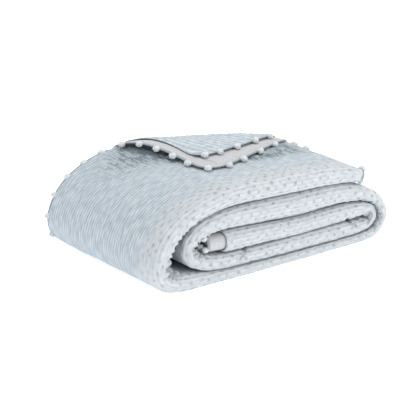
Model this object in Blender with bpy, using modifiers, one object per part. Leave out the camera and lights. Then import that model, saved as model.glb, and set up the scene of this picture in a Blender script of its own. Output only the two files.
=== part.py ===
"""A padded quilt with a pompom trim, folded for the shelf.

The cloth is folded lengthwise in half three times, which gives eight plies with a fold at the
front, and is then rolled into five flat layers. The corner of the two outermost plies is turned
over at the back, so that it shows the reverse. +X runs along the rolled strip to its loose end,
+Y from the folded front to the free edges at the back, +Z up from the surface it stands on.
"""

import math

import bmesh
import bpy
import numpy as np
from mathutils import Matrix, Vector

# Size of the folded package, in metres
DEPTH = 0.317
LEFT_X = -0.02
RIGHT_X = 0.44
LEFT_FAN = -0.057  # how far the left side leans outward for each metre of depth
RIGHT_FAN = -0.055  # how far the loose end slants inward for each metre of depth

# The eight plies, as shares of the pitch from one ply to the next
PLIES = 8
CLOTH_SHARE = 0.84
FRONT_STEP = 1.05  # from one front fold to the fold nested in it
BACK_EDGE_IN = {"outer": 0.0, "second": 0.004, "low_fold": 0.008, "high_fold": 0.011}
NARROWER = 0.16  # plies 3 to 8 of the top layer are this much less deep at the loose end

# The middle line of the rolled strip, from its inner end to its loose end: x, height, thickness
ROLL = (
    # third layer, from the inner end
    (0.100, 0.0720, 0.039),
    (0.150, 0.0692, 0.041),
    (0.200, 0.067, 0.038),
    (0.300, 0.063, 0.033),
    (0.400, 0.0637, 0.0335),
    (0.437, 0.0631, 0.0280),
    # inner right fold
    (0.4563, 0.0604, 0.0243),
    (0.4660, 0.0562, 0.0236),
    (0.4702, 0.0467, 0.0234),
    (0.4660, 0.0370, 0.0236),
    (0.4563, 0.0326, 0.0243),
    (0.437, 0.0303, 0.0262),
    # fourth layer
    (0.400, 0.0310, 0.0285),
    (0.300, 0.0316, 0.0285),
    (0.200, 0.0333, 0.0272),
    (0.130, 0.0360, 0.0265),
    # inner left fold, round the hollow in the middle
    (0.090, 0.0430, 0.028),
    (0.064, 0.0560, 0.028),
    (0.056, 0.0735, 0.028),
    (0.065, 0.0915, 0.028),
    (0.087, 0.1045, 0.030),
    # second layer
    (0.118, 0.1105, 0.034),
    (0.155, 0.1115, 0.038),
    (0.220, 0.1080, 0.042),
    (0.300, 0.1037, 0.0435),
    (0.380, 0.1030, 0.039),
    (0.432, 0.0975, 0.032),
    # outer right fold
    (0.464, 0.0860, 0.024),
    (0.486, 0.0690, 0.0205),
    (0.4965, 0.0460, 0.0215),
    (0.4925, 0.0285, 0.0215),
    (0.480, 0.0155, 0.0190),
    (0.460, 0.0092, 0.0165),
    # bottom layer
    (0.420, 0.0076, 0.0152),
    (0.300, 0.0078, 0.0156),
    (0.180, 0.0094, 0.0188),
    (0.110, 0.0116, 0.0230),
    (0.070, 0.0148, 0.0296),
    # outer left fold
    (0.035, 0.0190, 0.036),
    (0.008, 0.0308, 0.037),
    (-0.001, 0.0550, 0.037),
    (0.009, 0.0860, 0.036),
    (0.034, 0.1150, 0.034),
    (0.076, 0.1375, 0.033),
    # top layer, to the loose end
    (0.125, 0.1485, 0.0345),
    (0.170, 0.1510, 0.0365),
    (0.240, 0.1485, 0.0370),
    (0.300, 0.1460, 0.0370),
    (0.350, 0.1440, 0.0350),
    (0.400, 0.1385, 0.0310),
    (0.425, 0.1335, 0.0280),
    (0.440, 0.1295, 0.0260),
)
TOP_FROM_X = 0.06  # the top layer's two outer plies lie flat from here to the loose end
MOST_TURN = math.radians(30)  # from one stop of the roll to the next
MOST_OFF = 0.0012  # how far the curve may stray from the straight line between two stops
LONGEST_STEP = 0.1
TURNED_STEP = 0.04  # the longest step where the corner is turned over
TURNED_FROM = 0.33  # before the loose end
OUTER_PLY_SHORT = 0.033  # the outer ply stops short of the inner ones at the inner end
SECOND_PLY_SHORT = 0.016  # and ply 2 of ply 1 at the loose end, toward the back
END_STEP = 0.015
ROUND_ALONG = 0.060  # the corner's rounding, along the roll and across it
ROUND_ACROSS = 0.018

# The corner of plies 1 and 2 that is turned over at the back
CREASE_LEFT = (0.128, 0.309)
CREASE_RIGHT = (0.420, 0.208)
TURNED_CORNER = {1: (0.158, 0.086), 2: (0.168, 0.130)}  # where each square corner comes to lie
CORNER_BULGE = 0.018
BEND_RADIUS = {1: 0.00245, 2: 0.0071}
BEND_CUTS = 6
PAST_BEND = 0.004  # the turned corner's trim starts this far past the bend
DRAPE_LENGTH = 0.16  # the turned corner lies down over this length
DRAPE_CUTS = (0.010, 0.022, 0.037, 0.055, 0.08, 0.11)
RESTING = {1: 0.0062, 2: 0.0156}  # how high a turned ply comes to lie over its own plane
BILLOW = 0.013  # the turned corner's left edge stands this much higher near the crease
BILLOW_REACH = 0.19

# The pompom trim
TAPE_WIDTH = 0.0034
TAPE_THICK = 0.0016
TAPE_GAP = 0.0013
TAPE_FOLLOWS = 0.6  # the tape's outer edge goes up and down with its pompoms by this share
POMPOM_RADIUS = 0.0066
POMPOM_OUT = 0.0034  # from the tape's outer edge to the pompom's middle
POMPOM_PITCH = 0.0405
FIRST_POMPOM = {  # how far from its edge's start each stretch's first pompom is
    "back": 0.036,
    "turned": 0.010,
    "turned_upper": 0.006,
    "end_outer": 0.026,
    "end_middle": 0.0125,
    "inner": 0.013,
}
LAST_CLEAR = 0.004
WIDE_PITCHES = (0.038, 0.046, 0.060, 0.060)  # past the turned corner of ply 1
UPPER_PITCH = 0.051  # along ply 2's turned end
CLEAR = 0.0010
END_DROP = 0.008  # the loose end's upper pompoms hang down by this much
GATHER = 0.54  # the inner end's pompoms gather by this share toward this height
GATHER_HEIGHT = 0.0733

CLOTH_COLOUR = (0.62, 0.67, 0.70, 1)
POMPOM_COLOUR = (0.78, 0.81, 0.82, 1)


def catmull_rom(knots, per_span):
    """A smooth curve through the knots, with that many points to a span."""
    pad = np.vstack([2 * knots[0] - knots[1], knots, 2 * knots[-1] - knots[-2]])
    out = []
    for i in range(1, len(pad) - 2):
        p0, p1, p2, p3 = pad[i - 1 : i + 3]
        for t in np.arange(per_span) / per_span:
            out.append(
                0.5
                * (
                    2 * p1
                    + (p2 - p0) * t
                    + (2 * p0 - 5 * p1 + 4 * p2 - p3) * t**2
                    + (3 * p1 - p0 - 3 * p2 + p3) * t**3
                )
            )
    out.append(pad[-2])
    return np.array(out)


class Roll:
    """The rolled strip's middle line, by the length along it from the inner end.

    It is straight from stop to stop; the stops are closer together where it turns and near its
    two ends.
    """

    def __init__(self, knots):
        line = catmull_rom(np.array(knots), 24)
        gaps = np.linalg.norm(np.diff(line[:, :2], axis=0), axis=1)
        along = np.concatenate([[0], np.cumsum(gaps)])
        slope = np.gradient(line[:, :2], along, axis=0)
        slope /= np.linalg.norm(slope, axis=1)[:, None]
        turn = np.unwrap(np.arctan2(slope[:, 1], slope[:, 0]))
        columns = np.column_stack([line, -slope[:, 1], slope[:, 0]])
        self.length = float(along[-1])
        self.stops = [0.0, OUTER_PLY_SHORT + END_STEP]
        last = self.length - 3 * END_STEP
        while self.stops[-1] < last:
            here = self.stops[-1]
            longest = TURNED_STEP if here > self.length - TURNED_FROM else LONGEST_STEP
            start = np.array([np.interp(here, along, line[:, i]) for i in (0, 1)])
            ahead = here
            for i in np.flatnonzero(along > here):
                run = line[i, :2] - start
                between = line[(along > here) & (along < along[i]), :2] - start
                off = abs(run[0] * between[:, 1] - run[1] * between[:, 0])
                off = off.max(initial=0) / np.linalg.norm(run)
                turned = abs(turn[i] - np.interp(here, along, turn))
                if off > MOST_OFF or turned > MOST_TURN or along[i] > here + longest:
                    break
                ahead = float(along[i])
            self.stops.append(min(ahead, last))
        self.stops += [last + END_STEP * i for i in (1, 2, 3)]
        self.table = [np.interp(self.stops, along, column) for column in columns.T]

    def at(self, s):
        """Its x, height and thickness at the length s, and its outward way in x and height."""
        return [float(np.interp(s, self.stops, column)) for column in self.table]


ROLLED = Roll(ROLL)


def place(s, y, v):
    """The point v outward from the strip's middle line at s, y deep, before the corner is turned."""
    x, z, _, nx, nz = ROLLED.at(s)
    x += v * nx
    z += v * nz
    share = (x - LEFT_X) / (RIGHT_X - LEFT_X)
    lean = y * (LEFT_FAN + (RIGHT_FAN - LEFT_FAN) * share)
    return Vector((x + lean, y, z))


def unfanned(x, y):
    """The x that a point of the strip had before its two sides leaned."""
    grow = y * (RIGHT_FAN - LEFT_FAN) / (RIGHT_X - LEFT_X)
    return (x - y * LEFT_FAN + grow * LEFT_X) / (1 + grow)


def pitch_at(s):
    return ROLLED.at(s)[2] / PLIES


def ply_offset(ply, pitch):
    """How far out from the strip's middle a ply's own middle lies; ply 1 is outermost."""
    return ((PLIES + 1) / 2 - ply) * pitch


class TopPlies:
    """The top layer's plies where they lie flat: where it starts, and their heights by x."""

    def __init__(self):
        stops = [s for s in ROLLED.stops if s > 0.75 * ROLLED.length]
        rows = [(s, *ROLLED.at(s)) for s in stops]
        rows = [r for r in rows if r[1] > TOP_FROM_X and r[2] > 0.1]
        self.start = rows[0][0]
        self.rows = rows

    def height(self, x, y, ply):
        """The height of a ply's middle in the flat top layer."""
        line = []
        for _, mid_x, mid_z, thick, nx, nz in self.rows:
            offset = ply_offset(ply, thick / PLIES)
            line.append((mid_x + offset * nx, mid_z + offset * nz))
        xs, zs = zip(*line)
        return float(np.interp(unfanned(x, y), xs, zs))


TOP = TopPlies()
CREASE_RUN = Vector((*CREASE_RIGHT, 0)) - Vector((*CREASE_LEFT, 0))
ALONG_CREASE = CREASE_RUN.normalized()
PAST_CREASE = Vector((-ALONG_CREASE.y, ALONG_CREASE.x, 0))


def by_crease(x, y):
    """How far along the crease a place is, and how far past it."""
    here = Vector((x, y, 0)) - Vector((*CREASE_LEFT, 0))
    return here.dot(ALONG_CREASE), here.dot(PAST_CREASE)


def smooth(t):
    t = min(max(t, 0.0), 1.0)
    return t * t * (3 - 2 * t)


def early_hump(t):
    """Rises from 0 to 1 at a quarter of the way, and is back at 0 at the end."""
    return t * (1 - t) ** 3 / (0.25 * 0.75**3)


def side_of(ply):
    """How deep a ply's free side edge lies."""
    return DEPTH - BACK_EDGE_IN["outer" if ply == 1 else "second"]


def corner_pull(ply):
    """How much a turned ply stretches away from the crease and slides along it."""
    s = ROLLED.length
    square = place(s, side_of(ply), ply_offset(ply, pitch_at(s)))
    along, past = by_crease(square.x, square.y)
    new_along, new_past = by_crease(*TURNED_CORNER[ply])
    stretch = (math.pi * BEND_RADIUS[ply] - new_past) / past
    return past, stretch, (new_along - along) / past


PULL = {ply: corner_pull(ply) for ply in BEND_RADIUS}


CORNER_ALONG, CORNER_PAST = by_crease(*TURNED_CORNER[1])


def turned_lift(ply, along, beyond):
    """How high a turned ply's middle lies over its own plane, where it lies past the bend."""
    high = 2 * BEND_RADIUS[ply]
    share = min(max(-beyond / CORNER_PAST, 0.0), 1.0)
    from_edge = along - CORNER_ALONG * share
    billow = smooth(1 - from_edge / BILLOW_REACH) * early_hump(share)
    sink = (high - RESTING[ply]) * smooth(beyond / DRAPE_LENGTH)
    return high - sink + BILLOW * billow


def turned_over(point, ply, up=0.0):
    """Where a point of the two outermost plies goes when the corner is turned over."""
    along, past = by_crease(point.x, point.y)
    if past <= 0:
        return point.copy()
    reach, stretch, slide = PULL[ply]
    share = past / reach
    along += slide * past + 4 * CORNER_BULGE * share * (1 - share)
    radius = BEND_RADIUS[ply]
    run = past * stretch
    angle = min(run / radius, math.pi)
    beyond = max(run - math.pi * radius, 0.0)
    across = (radius - up) * math.sin(angle) - beyond
    lift = radius - (radius - up) * math.cos(angle)
    lift += turned_lift(ply, along, beyond) - 2 * radius
    there = Vector((*CREASE_LEFT, 0)) + ALONG_CREASE * along + PAST_CREASE * across
    there.z = TOP.height(there.x, there.y, ply) + lift
    return there


def rounded_corner(from_end, from_side):
    """Draws the square corner of a ply in to a round one; both distances are inward."""
    out = (1 - from_end / ROUND_ALONG, 1 - from_side / ROUND_ACROSS)
    if min(out) <= 0:
        return from_end, from_side
    scale = max(out) / math.hypot(*out)
    return ROUND_ALONG * (1 - out[0] * scale), ROUND_ACROSS * (1 - out[1] * scale)


def arc(centre, half_deep, half_high, start, stop, steps, front=True):
    """Points round a fold, as (depth, offset), from one angle to another in degrees."""
    sign = -1 if front else 1
    out = []
    for angle in np.radians(np.linspace(start, stop, steps + 1)):
        out.append(
            (
                centre[0] + sign * half_deep * math.cos(angle),
                centre[1] + half_high * math.sin(angle),
            )
        )
    return out


def section(pitch):
    """The folded cloth's path across the strip, as (depth, offset, ply), ply 0 in a fold."""
    thick = CLOTH_SHARE * pitch
    front = [thick / 2 + FRONT_STEP * pitch * i for i in range(4)]
    deep = [2.8 * pitch, 2.2 * pitch, 1.5 * pitch, 0.5 * pitch]
    high = [3.5 * pitch, 2.5 * pitch, 1.5 * pitch, 0.5 * pitch]
    steps = [8, 4, 4, 2]
    low_back = DEPTH - BACK_EDGE_IN["low_fold"] - 2 * pitch
    high_back = DEPTH - BACK_EDGE_IN["high_fold"]

    def front_fold(i, start, stop):
        return arc((front[i] + deep[i], 0), deep[i], high[i], start, stop, steps[i])

    def back_fold(depth, middle, half, start, stop, count):
        return arc((depth, middle), 1.33 * half, half, start, stop, count, front=False)

    path = []
    inward = (0, 0.008, 0.019)
    path += [(side_of(1) - d, 3.5 * pitch, 1) for d in inward]
    fold = front_fold(0, 90, -90)
    path += [(*fold[0], 1)] + [(y, v, 0) for y, v in fold[1:]]
    path += [(y, v, 0) for y, v in back_fold(low_back, -2 * pitch, 1.5 * pitch, -90, 90, 4)]
    path += [(y, v, 0) for y, v in front_fold(3, -90, 90)]
    path += [(y, v, 0) for y, v in back_fold(high_back, pitch, 0.5 * pitch, -90, 90, 2)]
    path += [(y, v, 0) for y, v in front_fold(2, 90, -90)]
    path += [(y, v, 0) for y, v in back_fold(low_back, -2 * pitch, 0.5 * pitch, 90, -90, 2)]
    fold = front_fold(1, -90, 90)
    path += [(y, v, 0) for y, v in fold[:-1]] + [(*fold[-1], 2)]
    path += [(side_of(2) - d, 2.5 * pitch, 2) for d in inward[::-1]]
    return path


# The path's points along some of the plies
OUTER_FOLD = range(3, 12)  # round the outermost front fold
OUTER_PATH = slice(2, 13)  # ply 1, the outermost front fold, ply 8
MIDDLE_PATH = slice(16, 18)  # ply 5
NESTED_PATH = slice(30, 37)  # ply 7, its front fold, ply 2


def outline(pitch):
    """The path's two sides, half the cloth's thickness to either side of it."""
    path = np.array([p[:2] for p in section(pitch)])
    way = np.gradient(path, axis=0)
    way[1:-1] = path[2:] - path[:-2]
    for i in range(1, len(path) - 1):
        before = path[i] - path[i - 1]
        after = path[i + 1] - path[i]
        before /= np.linalg.norm(before)
        after /= np.linalg.norm(after)
        way[i] = before + after
    way /= np.linalg.norm(way, axis=1)[:, None]
    side = np.stack([-way[:, 1], way[:, 0]], axis=1) * CLOTH_SHARE * pitch / 2
    return path + side, path - side


def inner_end_start(index):
    """How far the outer ply and its fold stop short of the others at the inner end."""
    last = OUTER_FOLD[-1]
    if index <= last:
        return OUTER_PLY_SHORT
    return OUTER_PLY_SHORT * max(0.0, 1 - (index - last) / 5)


def near_loose_end(s, depth, ply):
    """Where a point of the two outermost plies lies once their loose corner is rounded."""
    from_end, from_side = rounded_corner(ROLLED.length - s, side_of(ply) - depth)
    if ply == 2:
        deep = 1 - from_side / side_of(ply)
        from_end += SECOND_PLY_SHORT * deep * max(0.0, 1 - from_end / 0.16)
    return ROLLED.length - from_end, side_of(ply) - from_side


def narrowed(s):
    """The share of their depth that plies 3 to 8 have here."""
    share = (s - TOP.start) / (ROLLED.length - TOP.start)
    return 1 - NARROWER * max(share, 0.0)


def quilt_point(s, depth, offset, ply):
    if ply:
        pitch = pitch_at(s)
        s, depth = near_loose_end(s, depth, ply)
        offset *= pitch_at(s) / pitch
    else:
        depth *= narrowed(s)
    point = place(s, depth, offset)
    if point.z < 0.0004:
        point.z = 0.0
    return point


def loft_quilt():
    """The folded cloth, swept along the roll, as one closed mesh.

    The vertices of the two outermost plies carry their ply, their place along the roll and
    their height over the middle of their ply, for the corner that is turned over.
    """
    bm = bmesh.new()
    layers = [bm.verts.layers.float.new(name) for name in ("ply", "along", "up")]
    rings = []
    for step, s in enumerate(ROLLED.stops):
        plies = [p[2] for p in section(pitch_at(s))]
        sides = []
        for side in range(2):
            ring = []
            for i, ply in enumerate(plies):
                here = max(s, inner_end_start(i)) if step == 0 else s
                pitch = pitch_at(here)
                depth, offset = outline(pitch)[side][i]
                vert = bm.verts.new(quilt_point(here, depth, offset, ply))
                up = offset - ply_offset(ply, pitch) if ply else 0.0
                for layer, value in zip(layers, (ply, here, up)):
                    vert[layer] = value
                ring.append(vert)
            sides.append(ring)
        rings.append(sides)
    count = len(rings[0][0])
    for near, far in zip(rings, rings[1:]):
        for i in range(count - 1):
            bm.faces.new((near[0][i], near[0][i + 1], far[0][i + 1], far[0][i]))
            bm.faces.new((far[1][i], far[1][i + 1], near[1][i + 1], near[1][i]))
        for i in (0, count - 1):
            bm.faces.new((near[0][i], far[0][i], far[1][i], near[1][i]))
    for sides in (rings[0], rings[-1]):
        for i in range(count - 1):
            bm.faces.new((sides[0][i], sides[1][i], sides[1][i + 1], sides[0][i + 1]))
    bmesh.ops.recalc_face_normals(bm, faces=bm.faces[:])
    return bm, layers


def turn_corner(bm, layers):
    """Cuts the two outermost plies along lines beside the crease, and turns them over it."""
    ply_layer, along_layer, up_layer = layers

    def on_ply(vert, ply):
        return abs(vert[ply_layer] - ply) < 0.01 and vert[along_layer] > TOP.start - 1e-6

    for ply, radius in BEND_RADIUS.items():
        bend = math.pi * radius
        runs = [bend * i / BEND_CUTS for i in range(BEND_CUTS + 1)]
        runs += [bend + d for d in DRAPE_CUTS]
        for run in runs:
            faces = [f for f in bm.faces if all(on_ply(v, ply) for v in f.verts)]
            edges = {e for f in faces for e in f.edges}
            verts = {v for f in faces for v in f.verts}
            past = run / PULL[ply][1]
            bmesh.ops.bisect_plane(
                bm,
                geom=faces + list(edges) + list(verts),
                dist=1e-6,
                plane_co=Vector((*CREASE_LEFT, 0)) + PAST_CREASE * past,
                plane_no=PAST_CREASE,
            )
    for vert in bm.verts:
        for ply in BEND_RADIUS:
            if on_ply(vert, ply):
                vert.co = turned_over(vert.co, ply, vert[up_layer])


def material(name, colour, roughness):
    mat = bpy.data.materials.new(name)
    mat.use_nodes = True
    shader = mat.node_tree.nodes["Principled BSDF"]
    shader.inputs["Base Color"].default_value = colour
    shader.inputs["Roughness"].default_value = roughness
    shader.inputs["Metallic"].default_value = 0.0
    return mat


def new_object(name, bm, collection, mat):
    mesh = bpy.data.meshes.new(name)
    bm.to_mesh(mesh)
    bm.free()
    mesh.materials.append(mat)
    obj = bpy.data.objects.new(name, mesh)
    collection.objects.link(obj)
    return obj


class Edge:
    """An edge of the cloth: points along it, and the way outward at each."""

    def __init__(self, points, outward):
        self.points = points
        self.outward = [o.normalized() for o in outward]
        gaps = [(b - a).length for a, b in zip(points, points[1:])]
        self.along = np.concatenate([[0], np.cumsum(gaps)])
        self.length = float(self.along[-1])

    def at(self, distance):
        out = []
        for rows in (self.points, self.outward):
            table = np.array([tuple(r) for r in rows])
            out.append(Vector([float(np.interp(distance, self.along, c)) for c in table.T]))
        return out[0], out[1].normalized()


def roll_way(s):
    """The way along the roll toward the loose end."""
    _, _, _, nx, nz = ROLLED.at(s)
    return Vector((nz, 0, -nx))


def side_edge():
    """The outermost ply's side edge, from the inner end to where its corner is turned over."""
    stops = [OUTER_PLY_SHORT] + [s for s in ROLLED.stops if s > OUTER_PLY_SHORT + 0.01]
    points = []
    for s in stops:
        point = place(s, side_of(1), ply_offset(1, pitch_at(s)))
        if s > TOP.start and by_crease(point.x, point.y)[1] > -0.002:
            break
        points.append(point)
    return Edge(points, [Vector((0, 1, 0))] * len(points))


def turned_edge(ply, side=True):
    """A turned ply's side and end edges, round its corner, where they lie past the bend."""
    length, deep = ROLLED.length, side_of(ply)
    spots = []
    if side:
        spots += [(s, deep) for s in np.arange(TOP.start, length - 0.045, 0.015)]
        spots.append((length - 0.045, deep))
    spots += [(length - d, deep) for d in (0.03, 0.015, 0)]
    spots += [(length, deep - d) for d in (0.008, 0.019)]
    spots += [(length, d) for d in np.arange(deep - 0.03, 0.2, -0.01)]
    points = []
    for spot in spots:
        s, depth = near_loose_end(*spot, ply)
        point = place(s, depth, ply_offset(ply, pitch_at(s)))
        past = by_crease(point.x, point.y)[1]
        if past * PULL[ply][1] > math.pi * BEND_RADIUS[ply] + PAST_BEND:
            points.append(turned_over(point, ply))
    outward = []
    for i in range(len(points)):
        way = points[min(i + 1, len(points) - 1)] - points[max(i - 1, 0)]
        outward.append(Vector((way.y, -way.x, 0)))
    return Edge(points, outward)


def end_edge(s, part_of_path, depth_from, depth_to, toward):
    """The cloth's edge across the roll at s, along part of its path and between two depths."""
    path = [p[:2] for p in section(pitch_at(s))][part_of_path]
    path[0] = (depth_from, path[0][1])
    path[-1] = (depth_to, path[-1][1])
    points = []
    for (y0, v0), (y1, v1) in zip(path, path[1:]):
        count = math.ceil(math.hypot(y1 - y0, v1 - v0) / 0.02)
        for i in range(count):
            points.append(place(s, y0 + (y1 - y0) * i / count, v0 + (v1 - v0) * i / count))
    points.append(place(s, *path[-1]))
    return Edge(points, [roll_way(s) * toward] * len(points))


def upper_surface(x, y, turned):
    """The height of the top layer's upper side, or of the turned outermost ply over it."""
    height = TOP.height(x, y, 1) + CLOTH_SHARE * pitch_at(ROLLED.length - 0.1) / 2
    if turned:
        along, past = by_crease(x, y)
        height += turned_lift(1, along, max(-past, 0.0))
    return height


def ball_place(edge, distance, rise):
    """The middle of a pompom at a distance along an edge, and how much it is raised."""
    point, out = edge.at(distance)
    middle = point + out * (TAPE_GAP + TAPE_WIDTH + POMPOM_OUT)
    lift = rise(middle)
    middle.z += lift
    return middle, lift


def make_trim(name, edge, marks, rise, kit):
    """Tape along an edge, with a pompom at each mark, raised as the rise function says."""
    bm = bmesh.new()
    rows = []
    for distance, point, out in zip(edge.along, edge.points, edge.outward):
        _, lift = ball_place(edge, distance, rise)
        inner = point + out * TAPE_GAP
        outer = point + out * (TAPE_GAP + TAPE_WIDTH)
        outer.z += TAPE_FOLLOWS * lift
        rows.append((bm.verts.new(inner), bm.verts.new(outer)))
    for near, far in zip(rows, rows[1:]):
        bm.faces.new((near[0], far[0], far[1], near[1]))
    tape = new_object(name, bm, kit["parts"], kit["tape"])
    shell = tape.modifiers.new("tape", "SOLIDIFY")
    shell.thickness = TAPE_THICK
    shell.offset = 0
    shell.use_even_offset = True
    balls = bmesh.new()
    for i, mark in enumerate(marks):
        middle, _ = ball_place(edge, mark, rise)
        spin = Matrix.Rotation(0.7 * i, 4, "Z") @ Matrix.Rotation(1.1 * i, 4, "X")
        bmesh.ops.create_icosphere(
            balls,
            subdivisions=1,
            radius=POMPOM_RADIUS,
            matrix=Matrix.Translation(middle) @ spin,
        )
    cutter = new_object(name + "_pompoms", balls, kit["cutters"], kit["tape"])
    cutter.hide_render = True
    cutter.display_type = "WIRE"
    union = tape.modifiers.new("pompoms", "BOOLEAN")
    union.operation = "UNION"
    union.solver = "EXACT"
    union.object = cutter
    return tape


def even_marks(edge, first, pitch=POMPOM_PITCH):
    """Distances along an edge, a pitch apart, up to just before its end."""
    count = math.floor((edge.length - LAST_CLEAR - first) / pitch) + 1
    return [first + i * pitch for i in range(count)]


def centre(parts, cutters):
    """Moves everything so that the middle of the underside of the bounding box is the origin."""
    bpy.context.view_layer.update()
    graph = bpy.context.evaluated_depsgraph_get()
    corners = []
    for obj in parts.objects:
        shape = obj.evaluated_get(graph)
        corners += [vert.co.copy() for vert in shape.to_mesh().vertices]
        shape.to_mesh_clear()
    table = np.array([tuple(c) for c in corners])
    low, high = table.min(axis=0), table.max(axis=0)
    shift = Vector((-(low[0] + high[0]) / 2, -(low[1] + high[1]) / 2, -low[2]))
    for obj in list(parts.objects) + list(cutters.objects):
        obj.data.transform(Matrix.Translation(shift))
    return shift


def build():
    for obj in list(bpy.data.objects):
        bpy.data.objects.remove(obj)
    collection = bpy.data.collections.new("folded_quilt")
    cutters = bpy.data.collections.new("cutters")
    bpy.context.scene.collection.children.link(collection)
    bpy.context.scene.collection.children.link(cutters)
    cloth = material("stitched cotton", CLOTH_COLOUR, 0.9)
    tape = material("pompom trim", POMPOM_COLOUR, 0.95)
    kit = {"parts": collection, "cutters": cutters, "tape": tape}
    bm, layers = loft_quilt()
    turn_corner(bm, layers)
    bmesh.ops.recalc_face_normals(bm, faces=bm.faces[:])
    new_object("quilt", bm, collection, cloth)

    def over_floor(middle):
        return max(POMPOM_RADIUS + CLEAR - middle.z, 0.0)

    def over_top(middle):
        low = upper_surface(middle.x, middle.y, False) + POMPOM_RADIUS + CLEAR
        return max(low - middle.z, 0.0)

    def over_turned(middle):
        low = upper_surface(middle.x, middle.y, True) + POMPOM_RADIUS + CLEAR
        return max(low - middle.z, 0.0)

    def hanging(middle):
        drop = smooth(middle.y / 0.02) * smooth((0.17 - middle.y) / 0.04)
        return -END_DROP * drop * smooth((middle.z - 0.122) / 0.016)

    def gathered(middle):
        return GATHER * (GATHER_HEIGHT - middle.z)

    def level(middle):
        return 0.0

    last = ROLLED.length
    first = FIRST_POMPOM
    edge = side_edge()
    make_trim("trim_back", edge, even_marks(edge, first["back"]), over_floor, kit)
    edge = turned_edge(1)
    marks = [m for m in even_marks(edge, first["turned"]) if m < edge.length / 2]
    marks += [marks[-1] + sum(WIDE_PITCHES[: i + 1]) for i in range(len(WIDE_PITCHES))]
    make_trim("trim_turned", edge, marks, over_top, kit)
    edge = turned_edge(2, side=False)
    marks = even_marks(edge, first["turned_upper"], UPPER_PITCH)
    make_trim("trim_turned_upper", edge, marks, over_turned, kit)
    edge = end_edge(last, OUTER_PATH, 0.203, 0.25, 1)
    make_trim("trim_end_outer", edge, even_marks(edge, first["end_outer"]), hanging, kit)
    edge = end_edge(last, MIDDLE_PATH, 0.25, 0.03, 1)
    make_trim("trim_end_middle", edge, even_marks(edge, first["end_middle"]), level, kit)
    edge = end_edge(0.0, NESTED_PATH, 0.30, 0.30, -1)
    make_trim("trim_inner", edge, even_marks(edge, first["inner"]), gathered, kit)
    return centre(collection, cutters)


SHIFT = build()
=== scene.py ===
"""A padded quilt with a pompom trim, folded for the shelf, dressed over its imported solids."""

import math
import random
from functools import partial

import bmesh
import bpy
import numpy as np
from mathutils import Matrix, Vector, noise


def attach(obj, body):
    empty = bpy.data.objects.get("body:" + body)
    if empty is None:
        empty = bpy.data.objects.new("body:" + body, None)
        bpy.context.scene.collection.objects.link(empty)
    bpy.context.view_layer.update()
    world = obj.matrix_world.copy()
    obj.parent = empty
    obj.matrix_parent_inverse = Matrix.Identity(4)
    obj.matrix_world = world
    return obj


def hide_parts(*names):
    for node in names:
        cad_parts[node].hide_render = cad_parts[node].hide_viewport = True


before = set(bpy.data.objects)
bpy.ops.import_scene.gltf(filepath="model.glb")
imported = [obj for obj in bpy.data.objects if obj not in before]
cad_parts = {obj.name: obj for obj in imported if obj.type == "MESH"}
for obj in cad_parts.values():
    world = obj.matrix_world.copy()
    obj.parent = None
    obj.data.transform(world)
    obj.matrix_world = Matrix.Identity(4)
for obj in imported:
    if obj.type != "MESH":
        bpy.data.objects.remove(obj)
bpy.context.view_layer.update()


# The rolled strip
# Before it is rolled, the quilt is folded lengthwise in half three times, into a strip of eight
# plies. The strip is then rolled by hand into five flat layers, from its inner end outward.
LEFT_X = -0.02
RIGHT_X = 0.44
LEFT_FAN = -0.057  # how far the left side leans outward for each metre of depth
RIGHT_FAN = -0.055
PLIES = 8
KNOT_STEPS = 24  # points of the curve from one knot of the roll to the next
BEND_OVER = 25  # points over which the curve's bend is averaged
ROLL = (  # the strip's middle line: x, height, thickness
    # third layer, from the inner end
    (0.1, 0.072, 0.039),
    (0.15, 0.0692, 0.041),
    (0.2, 0.067, 0.038),
    (0.3, 0.063, 0.033),
    (0.4, 0.0637, 0.0335),
    (0.437, 0.0631, 0.028),
    # inner right fold
    (0.4563, 0.0604, 0.0243),
    (0.466, 0.0562, 0.0236),
    (0.4702, 0.0467, 0.0234),
    (0.466, 0.037, 0.0236),
    (0.4563, 0.0326, 0.0243),
    (0.437, 0.0303, 0.0262),
    # fourth layer
    (0.4, 0.031, 0.0285),
    (0.3, 0.0316, 0.0285),
    (0.2, 0.0333, 0.0272),
    (0.13, 0.036, 0.0265),
    # inner left fold, round the hollow in the middle
    (0.09, 0.043, 0.028),
    (0.064, 0.056, 0.028),
    (0.056, 0.0735, 0.028),
    (0.065, 0.0915, 0.028),
    (0.087, 0.1045, 0.03),
    # second layer
    (0.118, 0.1105, 0.034),
    (0.155, 0.1115, 0.038),
    (0.22, 0.108, 0.042),
    (0.3, 0.1037, 0.0435),
    (0.38, 0.103, 0.039),
    (0.432, 0.0975, 0.032),
    # outer right fold
    (0.464, 0.086, 0.024),
    (0.486, 0.069, 0.0205),
    (0.4965, 0.046, 0.0215),
    (0.4925, 0.0285, 0.0215),
    (0.48, 0.0155, 0.019),
    (0.46, 0.0092, 0.0165),
    # bottom layer
    (0.42, 0.0076, 0.0152),
    (0.3, 0.0078, 0.0156),
    (0.18, 0.0094, 0.0188),
    (0.11, 0.0116, 0.023),
    (0.07, 0.0148, 0.0296),
    # outer left fold
    (0.035, 0.019, 0.036),
    (0.008, 0.0308, 0.037),
    (-0.001, 0.055, 0.037),
    (0.009, 0.086, 0.036),
    (0.034, 0.115, 0.034),
    (0.076, 0.1375, 0.033),
    # top layer, to the loose end
    (0.125, 0.1485, 0.0345),
    (0.17, 0.151, 0.0365),
    (0.24, 0.1485, 0.037),
    (0.3, 0.146, 0.037),
    (0.35, 0.144, 0.035),
    (0.4, 0.1385, 0.031),
    (0.425, 0.1335, 0.028),
    (0.44, 0.1295, 0.026),
)


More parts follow.
